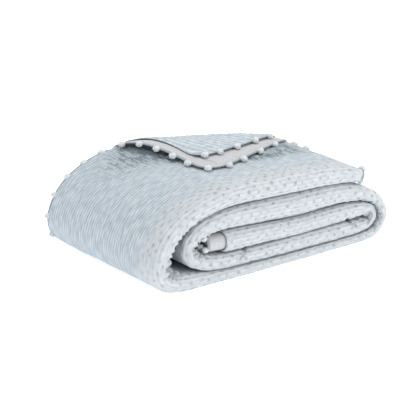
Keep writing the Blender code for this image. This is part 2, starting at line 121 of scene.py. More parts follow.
def smooth_curve(knots):
    """A Catmull-Rom curve through the knots."""
    pad = np.vstack([2 * knots[0] - knots[1], knots, 2 * knots[-1] - knots[-2]])
    p0, p1, p2, p3 = (pad[i : len(pad) - 3 + i, None] for i in range(4))
    t = (np.arange(KNOT_STEPS) / KNOT_STEPS)[None, :, None]
    bend = (2 * p0 - 5 * p1 + 4 * p2 - p3) * t**2 + (3 * p1 - p0 - 3 * p2 + p3) * t**3
    curve = 0.5 * (2 * p1 + (p2 - p0) * t + bend)
    return np.vstack([curve.reshape(-1, knots.shape[1]), knots[-1]])


line = smooth_curve(np.array(ROLL))
line_along = np.hstack([[0], np.cumsum(np.linalg.norm(np.diff(line[:, :2], axis=0), axis=1))])
line_way = np.gradient(line[:, :2], line_along, axis=0)
line_way /= np.linalg.norm(line_way, axis=1)[:, None]
STRIP = float(line_along[-1])
line_bend = -np.gradient(np.unwrap(np.arctan2(line_way[:, 1], line_way[:, 0])), line_along)
line_bend = np.convolve(np.abs(line_bend), np.ones(BEND_OVER) / BEND_OVER, mode="same")


def roll_at(s):
    """The middle line's x, height and thickness at the length s, and its outward way."""
    x, z, thick = (np.interp(s, line_along, line[:, i]) for i in range(3))
    way_x, way_z = (np.interp(s, line_along, line_way[:, i]) for i in range(2))
    size = np.hypot(way_x, way_z)
    return x, z, thick, -way_z / size, way_x / size


def lean(x, y):
    """Where a line at x on the front has leaned to at the depth y."""
    share = (x - LEFT_X) / (RIGHT_X - LEFT_X)
    return x + y * (LEFT_FAN + (RIGHT_FAN - LEFT_FAN) * share)


def in_roll(s, y, v):
    """The place y deep and v outward from the middle line at s."""
    x, z, _, nx, nz = roll_at(s)
    return np.stack(np.broadcast_arrays(lean(x + v * nx, y), y, z + v * nz), axis=-1)


# The folded cloth
# One padded cloth, a stitched cotton face and a plain backing with wadding between them. It is
# modelled as its two sides, joined round the hem, along the path that the folds give it.
DEPTH = 0.317
CLOTH_SHARE = 0.84  # of the pitch from one ply to the next
FRONT_STEP = 1.05  # from one front fold to the next inside it, in pitches
FRONT_DEEP = (2.8, 2.2, 1.5, 0.5)  # how deep each front fold is, in pitches
FRONT_HIGH = (3.5, 2.5, 1.5, 0.5)  # half its height
BACK_DEEP = 1.33  # a back fold's depth, as a share of half its height
SIDE = {1: DEPTH, 2: DEPTH - 0.004}  # how deep the free side edges lie
NARROWER = 0.16  # how much the inner plies draw in toward the loose end
OUTER_PLY_SHORT = 0.033  # the outer fold starts this far in from the others
INNER_END_RUN = 0.06
SECOND_PLY_SHORT = 0.016  # and the second ply stops this far before the loose end
SECOND_PLY_RUN = 0.16
ROUND_ALONG = 0.060  # the rounding of the cloth's corner
ROUND_ACROSS = 0.018
TOP_START = 1.9696  # along the strip
CAD_SHIFT = np.array([-0.23378, -0.16585, 0.0])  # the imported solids' origin


def ply(depth_from, depth_to, middle):
    """A flat ply between two depths, at its offset in pitches."""
    return ("ply", depth_from, depth_to, middle)


def front_fold(fold, start, stop):
    half = FRONT_DEEP[fold], FRONT_HIGH[fold]
    return ("fold", FRONTS[fold], 0.0, half, (start, stop), -1)


def back_fold(centre, middle, half, start, stop):
    return ("fold", centre, middle, (BACK_DEEP * half, half), (start, stop), 1)


# How deep each fold begins, in metres and in pitches to add: the front ones, and two at the back.
FRONTS = [(0.0, CLOTH_SHARE / 2 + FRONT_STEP * i + FRONT_DEEP[i]) for i in range(4)]
LOW = (DEPTH - 0.008, -2.0)
HIGH = (DEPTH - 0.011, 0.0)
PATH = (
    ply((SIDE[1], 0.0), FRONTS[0], 3.5),
    front_fold(0, 90, -90),
    ply(FRONTS[0], LOW, -3.5),
    back_fold(LOW, -2, 1.5, -90, 90),
    ply(LOW, FRONTS[3], -0.5),
    front_fold(3, -90, 90),
    ply(FRONTS[3], HIGH, 0.5),
    back_fold(HIGH, 1, 0.5, -90, 90),
    ply(HIGH, FRONTS[2], 1.5),
    front_fold(2, 90, -90),
    ply(FRONTS[2], LOW, -1.5),
    back_fold(LOW, -2, 0.5, 90, -90),
    ply(LOW, FRONTS[1], -2.5),
    front_fold(1, -90, 90),
    ply(FRONTS[1], (SIDE[2], 0.0), 2.5),
)
PLY_OF = {0: 1, 14: 2}  # the two outermost plies, by their places in the path


def path_at(q, pitch):
    """Depth and offset at each place q along the path, one whole number to a ply or a fold."""
    depth = np.zeros((len(pitch), len(q)))
    offset = np.zeros_like(depth)
    p = pitch[:, None]
    for i, part in enumerate(PATH):
        here = (np.minimum(q.astype(int), len(PATH) - 1) == i).nonzero()[0]
        if not len(here):
            continue
        t = (q[here] - i)[None, :]
        if part[0] == "ply":
            near = part[1][0] + part[1][1] * p
            far = part[2][0] + part[2][1] * p
            depth[:, here] = near + (far - near) * t
            offset[:, here] = part[3] * p
        else:
            _, centre, middle, half, (start, stop), sign = part
            angle = np.radians(start + (stop - start) * t)
            depth[:, here] = centre[0] + (centre[1] + sign * half[0] * np.cos(angle)) * p
            offset[:, here] = (middle + half[1] * np.sin(angle)) * p
    return depth, offset


def ellipse_half(deep, high):
    """Half the way round an ellipse."""
    h = ((deep - high) / (deep + high)) ** 2
    return math.pi / 2 * (deep + high) * (1 + 3 * h / (10 + math.sqrt(4 - 3 * h)))


def cloth_across(q, pitch):
    """The distance across the flat cloth from the side edge, at each place along the path."""
    p = pitch[:, None]
    runs = [np.zeros_like(p)]
    for part in PATH:
        if part[0] == "ply":
            run = abs((part[2][0] - part[1][0]) + (part[2][1] - part[1][1]) * p)
        else:
            run = ellipse_half(*part[3]) * p
        runs.append(runs[-1] + run)
    table = np.hstack(runs)
    index = np.minimum(q.astype(int), len(PATH) - 1)
    return table[:, index] + (table[:, index + 1] - table[:, index]) * (q - index)[None, :]


def ply_middle(which):
    """How far out of the strip's middle line one of the outermost plies lies, in pitches."""
    return (PLIES + 1) / 2 - which


def rounded_corner(from_end, from_side):
    """Draws the square corner of a ply in to a round one."""
    a = 1 - from_end / ROUND_ALONG
    b = 1 - from_side / ROUND_ACROSS
    inside = (a > 0) & (b > 0)
    size = np.maximum(np.hypot(a, b), 1e-9)
    scale = np.maximum(a, b) / size
    from_end = np.where(inside, ROUND_ALONG * (1 - a * scale), from_end)
    return from_end, np.where(inside, ROUND_ACROSS * (1 - b * scale), from_side)


def near_loose_end(s, depth, which):
    """The place in a ply with its corner rounded and its end drawn back."""
    from_end, from_side = rounded_corner(STRIP - s, SIDE[which] - depth)
    if which == 2:
        deep = 1 - from_side / SIDE[2]
        from_end = from_end + SECOND_PLY_SHORT * deep * np.clip(1 - from_end / SECOND_PLY_RUN, 0, None)
    return STRIP - from_end, SIDE[which] - from_side


# The turned corner
# The corner of the two outermost plies is turned over at the back. It lies along a slanting
# crease, shows the backing, and stands a little off the cloth below at its left edge.
CREASE_LEFT = np.array([0.128, 0.309])
CREASE_RIGHT = np.array([0.420, 0.208])
TURNED_CORNER = {1: (0.158, 0.086), 2: (0.168, 0.130)}
CORNER_BULGE = 0.018  # how far the turned end bows outward
BEND_RADIUS = {1: 0.00245, 2: 0.0071}
PAST_BEND = 0.004
DRAPE_LENGTH = 0.16  # from the bend to where a turned ply comes to rest
RESTING = {1: 0.0062, 2: 0.0156}
BILLOW = 0.013  # how high the left edge stands off, and how far that goes
BILLOW_REACH = 0.19
HUMP_AT = 0.25  # the share of the way to the corner where it is highest

crease_run = CREASE_RIGHT - CREASE_LEFT
along_crease = crease_run / np.linalg.norm(crease_run)
past_crease = np.array([-along_crease[1], along_crease[0]])


def by_crease(x, y):
    """How far along the crease a place is, and how far past it."""
    here = np.stack([x, y], axis=-1) - CREASE_LEFT
    return here @ along_crease, here @ past_crease


def smooth(t):
    t = np.clip(t, 0.0, 1.0)
    return t * t * (3 - 2 * t)


CORNER_ALONG, CORNER_PAST = by_crease(*TURNED_CORNER[1])


def top_height(x, y, which):
    """The height of a ply's middle in the flat top layer."""
    s = np.linspace(TOP_START, STRIP, 160)
    mid_x, mid_z, thick, nx, nz = roll_at(s)
    offset = ply_middle(which) * thick / PLIES
    grow = y * (RIGHT_FAN - LEFT_FAN) / (RIGHT_X - LEFT_X)
    straight = (x - y * LEFT_FAN + grow * LEFT_X) / (1 + grow)
    return np.interp(straight, mid_x + offset * nx, mid_z + offset * nz)


def corner_pull(which):
    """What takes a ply's corner from its square place to where it lies when turned."""
    s = np.array([STRIP])
    pitch = roll_at(s)[2] / PLIES
    square = in_roll(s, SIDE[which], ply_middle(which) * pitch)[0]
    along, past = by_crease(square[0], square[1])
    new_along, new_past = by_crease(*TURNED_CORNER[which])
    stretch = (math.pi * BEND_RADIUS[which] - new_past) / past
    return past, stretch, (new_along - along) / past


PULL = {which: corner_pull(which) for which in BEND_RADIUS}


def turned_lift(which, along, beyond):
    """How high a turned ply's middle lies over its own plane, where it lies past the bend."""
    share = np.clip(-beyond / CORNER_PAST, 0.0, 1.0)
    hump = share * (1 - share) ** 3 / (HUMP_AT * (1 - HUMP_AT) ** 3)
    from_edge = along - CORNER_ALONG * share
    high = 2 * BEND_RADIUS[which]
    sink = (high - RESTING[which]) * smooth(beyond / DRAPE_LENGTH)
    return high - sink + BILLOW * hump * smooth(1 - from_edge / BILLOW_REACH)


def turned_over(points, which, up):
    """Where points of one of the two outermost plies go when the corner is turned over."""
    x, y = points[..., 0], points[..., 1]
    along, past = by_crease(x, y)
    radius = BEND_RADIUS[which]
    reach, stretch, slide = PULL[which]
    share = past / reach
    along = along + slide * past + 4 * CORNER_BULGE * share * (1 - share)
    run = past * stretch
    angle = np.clip(run / radius, 0, math.pi)
    beyond = np.maximum(run - math.pi * radius, 0.0)
    across = (radius - up) * np.sin(angle) - beyond
    lift = radius - (radius - up) * np.cos(angle)
    lift = lift + turned_lift(which, along, beyond) - 2 * radius
    flat = CREASE_LEFT + along[..., None] * along_crease + across[..., None] * past_crease
    height = top_height(flat[..., 0], flat[..., 1], which) + lift
    there = np.concatenate([flat, height[..., None]], axis=-1)
    return np.where((past > 0)[..., None], there, points)


# The quilt's two sides as meshes
# Each side is made in blocks, with close points where it shows and wide ones where other plies
# hide it. Neighbouring blocks are joined along their borders, so the cloth is one closed mesh.
# Its UV map is its flat width and length, in metres.
SHOWS_FROM = 0.345  # the outer ply shows from this x of the second layer to the loose end
ROWS_APART = 0.009  # of running stitch
STITCHES_APART = 0.020
DIP_WIDE = 0.0028
DIP_LONG = 0.0055
HEM_THIN = 0.3  # the cloth's edge, as a share of its thickness
HEM_ROUND = 0.006
HEM_STITCH = 0.0095  # from the edge
HEM_GROOVE = 0.0022
FRONT_DEPTH = 0.05  # as far back as puckers shade the front folds
# painted shade in creases: its strength under the turned corner and its cap, then its strength in the
# tucks
MOST_CREASE_SHADE = 1.9
TUCK_CREASE_SHADE = 2.0
PADDING = 0.0008  # the padding's unevenness
LOW_PADDING = 0.0003
WAVES = 7
SHORTEST_WAVE = 0.028
WAVE_GROWTH = 1.35
DRAWN = 0.0005  # how deep the stitches draw the face in, and how much more on the front folds
DRAWN_MORE = 0.0008
FOLDED_AT = 0.33  # across the flat cloth, where its first front fold lies
FOLD_HALF = 0.11
FOLD_FADE = 0.06
PINCHED_AT = 0.25  # puckers are full where the cloth is this share too long
PUCKER = 0.0138  # from one pucker to the next
PUCKER_HIGH = 0.0036
RUMPLE_HIGH = 0.0065
RUMPLED = (  # x, depth, and how wide and deep each wrinkled place is
    (0.112, 0.252, 0.055, 0.045),
    (0.165, 0.205, 0.035, 0.030),
    (0.305, 0.120, 0.045, 0.020),
    (0.370, 0.150, 0.045, 0.035),
)
RUMPLED_OVER = 0.10  # only what lies higher is wrinkled
WRINKLES = ((0.3, 0.026, 0.5), (1.1, 0.017, 0.3), (2.2, 0.021, 0.2))  # way, length and share
WRINKLE_WARP = 0.006
WRINKLE_ROUND = 0.05
WRINKLE_MEAN = 0.4
TUCKS = ((0.172, 0.044, 1.1), (0.420, 0.0425, -1.15))  # x, height and slant
TUCK_WIDE = 0.0036
TUCK_LONG = 0.010
TUCK_DEEP = 0.0042
TUCK_BACK = 0.03  # as far back as they go


def starts_at(q):
    """How far from the inner end each place on the path starts."""
    return OUTER_PLY_SHORT * np.clip(4 - q, 0, 1)


def waves(u, s, seed):
    """Soft unevenness from -1 to 1, over the flat cloth, from a few crossing waves."""
    chance = random.Random(seed)
    total = 0.0
    for i in range(WAVES):
        way = chance.uniform(0, math.pi)
        length = SHORTEST_WAVE * WAVE_GROWTH**i
        phase = chance.uniform(0, 2 * math.pi)
        run = (u * math.cos(way) + s * math.sin(way)) * 2 * math.pi / length
        total = total + np.sin(run + phase) * (0.55 + 0.12 * i)
    return total / 4.2  # about 1 at most


def stitch_dip(u, s):
    """How far the stitches draw the face down, from 0 between them to 1 at a stitch."""
    row = u / ROWS_APART
    nearest = np.round(row)
    offset = 0.5 * (nearest % 2)
    beat = s / STITCHES_APART - offset
    across = (row - nearest) * ROWS_APART
    ahead = (beat - np.round(beat)) * STITCHES_APART
    return np.exp(-((across / DIP_WIDE) ** 2) - (ahead / DIP_LONG) ** 2)


def hem_share(q, s):
    """The cloth's thickness near its hem, as a share of its full thickness."""
    from_side = np.minimum(q, len(PATH) - q) * DEPTH
    inward = np.minimum(np.minimum(from_side, STRIP - s), s - starts_at(q))
    bare = np.clip(1 - inward / HEM_ROUND, 0, 1)
    return HEM_THIN + (1 - HEM_THIN) * np.sqrt(1 - bare**2)


def surface_normals(points):
    along = np.gradient(points, axis=0)
    across = np.gradient(points, axis=1)
    normal = np.cross(across, along)
    return normal / np.maximum(np.linalg.norm(normal, axis=-1), 1e-12)[..., None]


def cloth_block(s, q, face, relief):
    """Points of one side at lengths s and places q, with their places when flat and their painted
    crease shade.
    """
    step = 1e-3
    side = 1 if face else -1
    starts = starts_at(q)[None, :]
    grid_s = s[:, None]
    grid_s = np.where(grid_s < INNER_END_RUN, starts + grid_s * (1 - starts / INNER_END_RUN), grid_s)
    pitch = roll_at(s)[2] / PLIES
    depth, offset = path_at(q, pitch)
    before = path_at(np.maximum(q - step, 0), pitch)
    after = path_at(np.minimum(q + step, len(PATH)), pitch)
    way = np.stack([after[0] - before[0], after[1] - before[1]])
    way /= np.linalg.norm(way, axis=0)
    half = side * CLOTH_SHARE * pitch[:, None] / 2 * hem_share(q, grid_s)
    rise = way[0] * -half
    depth = depth + way[1] * half
    points = np.zeros((*depth.shape, 3))
    piece = np.minimum(q.astype(int), len(PATH) - 1)
    share = np.clip((s - TOP_START) / (STRIP - TOP_START), 0, 1)[:, None]
    inner = (piece != 0) & (piece != len(PATH) - 1)
    plain = depth[:, inner] * (1 - NARROWER * share)
    points[:, inner] = in_roll(grid_s[:, inner], plain, (offset + rise)[:, inner])
    for place, which in PLY_OF.items():
        here = piece == place
        if not here.any():
            continue
        new_s, new_depth = near_loose_end(grid_s[:, here], depth[:, here], which)
        new_pitch = roll_at(new_s)[2] / PLIES
        up = rise[:, here]
        middle = offset[:, here] * new_pitch / pitch[:, None]
        spots = in_roll(new_s, new_depth, middle + up)
        top = (s > TOP_START)[:, None, None]
        turned = turned_over(spots, which, up)
        points[:, here] = np.where(top, turned, spots)
    points[..., 2] = np.maximum(points[..., 2], 0.0)
    u = cloth_across(q, pitch)
    # painted shade where the front folds pucker at the bends, in the wrinkles under the turned
    # corner's overhang, and in the tucks
    squeezed = pinched(grid_s, offset) * (depth < FRONT_DEPTH)
    wrinkled = MOST_CREASE_SHADE * rumple(points) * (relief is face_relief)
    creased = squeezed + wrinkled + TUCK_CREASE_SHADE * tucked(points)
    creased = np.clip(creased, 0, MOST_CREASE_SHADE) * face
    lift = relief(u, grid_s, offset, points) * side
    points = points + surface_normals(points) * lift[..., None]
    points[..., 2] = np.maximum(points[..., 2], 0.0)
    return points, np.stack([u, np.broadcast_to(grid_s, u.shape)], axis=-1), creased


class Cloth:
    """Collects the blocks of both sides and the faces that join them."""

    def __init__(self):
        self.points, self.flat, self.creased, self.faces, self.finish = [], [], [], [], []
        self.count = 0

    def block(self, s, q, face, relief):
        points, flat, creased = cloth_block(s, q, face, relief)
        index = self.count + np.arange(creased.size).reshape(creased.shape)
        self.count += creased.size
        self.points.append(points.reshape(-1, 3))
        self.flat.append(flat.reshape(-1, 2))
        self.creased.append(creased.ravel())
        corners = (index[:-1, :-1], index[:-1, 1:], index[1:, 1:], index[1:, :-1])
        quads = np.stack(corners, axis=-1).reshape(-1, 4).tolist()
        self.faces += quads
        self.finish += [int(not face)] * len(quads)
        return index

    def join(self, one, two, one_at, two_at, finish):
        """Fills the gap between two rows of points, whose places may be spaced differently."""
        i = j = 0
        before = len(self.faces)
        while i < len(one) - 1 or j < len(two) - 1:
            next_one = one_at[i + 1] if i < len(one) - 1 else math.inf
            next_two = two_at[j + 1] if j < len(two) - 1 else math.inf
            if abs(next_one - next_two) < 1e-6:
                self.faces.append([one[i], two[j], two[j + 1], one[i + 1]])
                i, j = i + 1, j + 1
            elif next_one < next_two:
                self.faces.append([one[i], two[j], one[i + 1]])
                i += 1
            else:
                self.faces.append([one[i], two[j], two[j + 1]])
                j += 1
        self.finish += [finish] * (len(self.faces) - before)

    def side(self, face, bands):
        """One side from its bands, each a run of blocks along the strip. Returns its border."""
        finish = int(not face)
        opening = closing = None
        ends = []
        for band in bands:
            grids = [(self.block(s, q, face, relief), s, q) for s, q, relief in band]
            for (one, _, one_q), (two, _, two_q) in zip(grids, grids[1:]):
                self.join(one[-1], two[0], one_q, two_q, finish)
            places = np.hstack([s for _, s, _ in grids])
            first = np.hstack([grid[:, 0] for grid, _, _ in grids]), places
            last = np.hstack([grid[:, -1] for grid, _, _ in grids]), places
            if opening is None:
                opening = first
            else:
                self.join(closing[0], first[0], closing[1], first[1], finish)
            closing = last
            ends.append((grids[0][0][0], grids[0][2], grids[-1][0][-1], grids[-1][2]))
        joined = [np.hstack(row) for row in zip(*ends)]
        return [opening, closing, joined[:2], joined[2:]]


def steps(start, *runs):
    """Places from start through runs, each given by its step and where it ends."""
    places = [np.array([float(start)])]
    for step, end in runs:
        here = places[-1][-1]
        count = max(1, round((end - here) / step))
        places.append(np.linspace(here, end, count + 1)[1:])
    return np.hstack(places)


def pinched(s, offset):
    """How much the cloth is squeezed along the strip, where its front folds go round a bend."""
    bend = np.interp(s, line_along, line_bend)
    return smooth(-offset * bend / PINCHED_AT)


def crumpled(x, y):
    """Uneven wrinkles, from about 0 in their troughs to 0.8 on their ridges."""
    total = 0.0
    for i, (way, length, share) in enumerate(WRINKLES):
        warp = WRINKLE_WARP * np.sin(x * 140 + i) * np.cos(y * 110 + 2 * i)
        run = (x * math.cos(way) + y * math.sin(way) + warp) * 2 * math.pi / length
        ridge = 1 + WRINKLE_ROUND - np.sqrt(np.sin(run / 2 + i) ** 2 + WRINKLE_ROUND)
        total = total + share * ridge
    return total


def tucked(points):
    """Where the front folds of the fourth layer are caught in small tucks."""
    x, y, z = points[..., 0], points[..., 1], points[..., 2]
    total = 0.0
    for tuck_x, tuck_z, slant in TUCKS:
        away = (x - tuck_x - slant * (z - tuck_z)) / TUCK_WIDE
        total = total + np.exp(-(away**2) - ((z - tuck_z) / TUCK_LONG) ** 2)
    return total * (y < TUCK_BACK)


def rumple(points):
    """Where the cloth behind the turned corner lies in wrinkles, beside both its ends."""
    x, y, z = points[..., 0], points[..., 1], points[..., 2]
    total = sum(
        np.exp(-(((x - mid_x) / wide) ** 2) - ((y - mid_y) / deep) ** 2)
        for mid_x, mid_y, wide, deep in RUMPLED
    )
    return total * smooth((z - RUMPLED_OVER) / 0.03)


def face_relief(u, s, offset, points):
    """Padding, the stitches' dips, uneven puckers at the bends, wrinkles and small tucks."""
    drawn = DRAWN + DRAWN_MORE * smooth((FOLD_HALF - np.abs(u - FOLDED_AT)) / FOLD_FADE)
    relief = PADDING * waves(u, s, 3) - drawn * stitch_dip(u, s) + LOW_PADDING
    beat = s / PUCKER + 0.8 * waves(0.4 * u, s, 11)
    strength = PUCKER_HIGH * (1 + 0.45 * waves(u, s, 13))
    relief = relief + strength * pinched(s, offset) * np.sin(2 * math.pi * beat)
    wrinkle = crumpled(points[..., 0], points[..., 1]) - WRINKLE_MEAN
    return relief + RUMPLE_HIGH * rumple(points) * wrinkle - TUCK_DEEP * tucked(points)


def turned_relief(u, s, offset, points):
    """The turned face's lower padding and dips."""
    return 0.0005 * waves(u, s, 5) - 0.0007 * stitch_dip(u, s)


def backing_relief(u, s, offset, points):
    """A soft unevenness, and the groove of the hem's stitching."""
    from_edge = np.minimum(u, STRIP - s)
    groove = np.exp(-(((from_edge - HEM_STITCH) / HEM_GROOVE) ** 2))
    return LOW_PADDING * waves(u, s, 7) - 0.0006 * groove


def no_relief(u, s, offset, points):
    return np.zeros_like(u)


second_layer = slice(21 * KNOT_STEPS, 26 * KNOT_STEPS + 1)
SHOWS_S = float(np.interp(SHOWS_FROM, line[second_layer, 0], line_along[second_layer]))
under = slice(34 * KNOT_STEPS, 38 * KNOT_STEPS + 1)
FLOOR_S = [float(np.interp(-x, -line[under, 0], line_along[under])) for x in (0.44, 0.10)]
PLY_RUN = 0.302  # across the cloth in one ply
HEM = (0.0006, 0.0006), (0.0012, 0.0018), (0.0018, 0.0036)  # each run's step and end
HEM_FROM = STRIP - HEM[2][1]
loose_hem = (0.0018, STRIP - 0.0018), (0.0012, STRIP - 0.0006), (0.0006, STRIP)
hem_q = [(step / PLY_RUN, end / PLY_RUN) for step, end in HEM]
outer_runs = (0.018, SHOWS_S), (0.0038, FLOOR_S[0]), (0.008, FLOOR_S[1]), (0.0038, HEM_FROM)
outer_s = steps(0, *HEM, *outer_runs, *loose_hem)
front_s = steps(0, *HEM, (0.0029, HEM_FROM), *loose_hem)
lining_s = steps(0, *HEM, (0.008, HEM_FROM), *loose_hem)
hidden_s = steps(0, *HEM, (0.004, 0.07), (0.020, TOP_START + 0.002))
turned_s = steps(TOP_START + 0.006, (0.0036, HEM_FROM), *loose_hem)
core_s = steps(TOP_START + 0.006, (0.006, HEM_FROM), *loose_hem)
outer_q = steps(0, *hem_q, (0.0040 / PLY_RUN, 0.985))
front_q = np.hstack([[0.993], np.linspace(1, 2, 17), [2.012, 2.03, 2.055, 2.09, 2.13]])
lining_q = np.hstack([[2.18, 2.27, 2.4, 2.55, 2.7, 2.85, 2.95], np.linspace(3, 4, 9), [4.02]])


def fold_places(folds, ply_steps, fold_steps):
    """Places through whole plies and folds of the path, with so many steps to each."""
    places = []
    for i in range(*folds):
        count = ply_steps if PATH[i][0] == "ply" else fold_steps
        places.append(i + np.arange(count) / count)
    return np.hstack(places)


core_q = np.hstack([[4.06], fold_places((4, 14), 4, 5)[1:]])
core_top_q = np.sort(np.hstack([core_q, np.arange(8.05, 8.99, 0.05)]))
core_top_q = core_top_q[np.hstack([[True], np.diff(core_top_q) > 0.012])]
second_q = np.hstack([[14.0], steps(14.02, (0.2, 14.96), (0.02, 15))])
close_side = steps(14.0, (0.05, 14.4), (0.0113, 15 - hem_q[2][1]))
second_top_q = np.hstack([close_side, 15 - hem_q[1][1] * np.array([1.0, 0.333, 0])])
backing_q = steps(0, *hem_q, (0.2, 0.96))
backing_top_q = steps(0, *hem_q, (0.0113, 0.7), (0.05, 0.96))
nested_q = fold_places((1, 14), 4, 6)


def smooth_mesh(name, points, faces, finish):
    made = bpy.data.meshes.new(name)
    made.from_pydata(points + CAD_SHIFT, [], faces)
    made.polygons.foreach_set("material_index", finish)
    made.polygons.foreach_set("use_smooth", [True] * len(faces))
    return made


def new_object(name, data):
    made = bpy.data.objects.new(name, data)
    bpy.context.scene.collection.objects.link(made)
    return made


cloth = Cloth()
face_border = cloth.side(True, [
    [(outer_s, outer_q, face_relief)],
    [(front_s, front_q, face_relief)],
    [(lining_s, lining_q, no_relief)],
    [(hidden_s, core_q, no_relief), (core_s, core_top_q, turned_relief)],
    [(hidden_s, second_q, no_relief), (turned_s, second_top_q, turned_relief)],
])
backing_border = cloth.side(False, [
    [(hidden_s, backing_q, no_relief), (turned_s, backing_top_q, backing_relief)],
    [(hidden_s, nested_q, no_relief), (core_s, nested_q, no_relief)],
    [(hidden_s, second_q, no_relief), (turned_s, second_top_q, backing_relief)],
])
for (one, one_at), (two, two_at) in zip(face_border, backing_border):
    cloth.join(one, two, one_at, two_at, 1)

mesh = smooth_mesh("quilt", np.concatenate(cloth.points), cloth.faces, cloth.finish)
flat_map = mesh.uv_layers.new(name="cloth")
corner_points = np.zeros(len(mesh.loops), dtype=np.int32)
mesh.loops.foreach_get("vertex_index", corner_points)
flat_map.data.foreach_set("uv", np.concatenate(cloth.flat)[corner_points].ravel())
bm = bmesh.new()
bm.from_mesh(mesh)
bmesh.ops.recalc_face_normals(bm, faces=bm.faces)
bm.to_mesh(mesh)
bm.free()
# each point's painted shade for puckers, tucks and the cloth under the turned corner
marks = mesh.attributes.new("creased", "FLOAT", "POINT")
marks.data.foreach_set("value", np.concatenate(cloth.creased))
quilt = new_object("quilt_cloth", mesh)


# The cloth's two finishes
# The face is plain-woven cotton, washed pale blue-grey, with rows of running stitch through its
# padding. The backing is an undyed cotton of the same weave, turned in and stitched at the hem.
FACE_LIGHT = "#bfc7ce"
FACE_DEEP = "#97a5b1"
# painted shade in stitch pricks, crinkle troughs, wrinkles, creases and under the turned corner; also
# the hem seam's line
SHADE_AND_SEAM_COLOUR = "#77858d"
# painted light: the front folds face the key light, and this greyer tint stands in for how they look
# there
LIT_FOLD_TINT = "#bfc3c6"  # on the front folds, where the cloth looks greyer
BACKING_LIGHT = "#bec0c3"
BACKING_DEEP = "#abacb0"
WEAVE = 0.0012  # coarser than the real 0.5 mm of a thread, so that it shows
CRINKLES_APART = 0.0064
PRICK_WIDE = 0.0034
PRICK_LONG = 0.0046
PATCHES = 230.0  # to a metre, about 4.3 mm each, by which the rows stray
STRAY = 0.0052
CRINKLE_STRAY = 0.0012
STREAKS = 190.0  # to a metre, about 5.3 mm each
FOLD_SEEN = 0.035  # a front fold's finish is full this far from its middle, and then fades
FOLD_ENDS = 0.085
OFF_FOLD = 0.18  # how much of it is left on the broad face
COTTON = {  # matt, and a little soft at grazing light
    "Roughness": 0.92,
    "IOR": 1.46,
    "Specular IOR Level": 0.25,
    "Sheen Weight": 0.10,
    "Sheen Roughness": 0.5,
}


def linear(colour):
    """An sRGB hex colour as a linear one."""
    parts = [int(colour[i : i + 2], 16) / 255 for i in (1, 3, 5)]
    return (*[c / 12.92 if c <= 0.04045 else ((c + 0.055) / 1.055) ** 2.4 for c in parts], 1.0)


def add_node(tree, kind, inputs=None, **settings):
    """Adds a node of a kind, with any operation. Its inputs are values, sockets or nodes."""
    kind, *operation = kind.split()
    node = tree.nodes.new("ShaderNode" + kind)
    for name in operation:
        node.operation = name
    for name, value in settings.items():
        setattr(node, name, value)
    for name, value in (inputs or {}).items():
        if isinstance(value, bpy.types.Node):
            value = next(output for output in value.outputs if output.enabled)
        if isinstance(value, bpy.types.NodeSocket):
            tree.links.new(value, node.inputs[name])
        else:
            node.inputs[name].default_value = value
    return node


def layered(add, *layers):
    """The sum of several patterns, each times its own amount."""
    total = 0.0
    for pattern, amount in layers:
        total = add("Math MULTIPLY_ADD", {0: pattern, 1: amount, 2: total})
    return total


def woven(add, flat):
    """The height of a plain weave, from -1 to 1, over the flat cloth."""
    turn = 2 * math.pi / WEAVE
    threads = add("VectorMath MULTIPLY", {0: flat, 1: (turn, turn, 0)})
    wave = add("VectorMath SINE", {0: threads})
    parts = add("SeparateXYZ", {0: wave})
    return add("Math MULTIPLY", {0: parts.outputs[0], 1: parts.outputs[1]})


def new_finish(name, look):
    """A new material, the function that adds nodes to it, and its shader."""
    finish = bpy.data.materials.new(name)
    finish.use_nodes = True
    shader = finish.node_tree.nodes["Principled BSDF"]
    for setting, value in look.items():
        shader.inputs[setting].default_value = value
    return finish, partial(add_node, finish.node_tree), shader


def clad(add, shader, colour, *layers):
    """Gives a finish its colour, and a relief whose layers are in metres."""
    high = layered(add, *layers)
    raised = add("Bump", {"Height": high, "Strength": 1.0, "Distance": 1.0})
    links = shader.id_data.links
    links.new(colour.outputs[2], shader.inputs["Base Color"])
    links.new(raised.outputs[0], shader.inputs["Normal"])


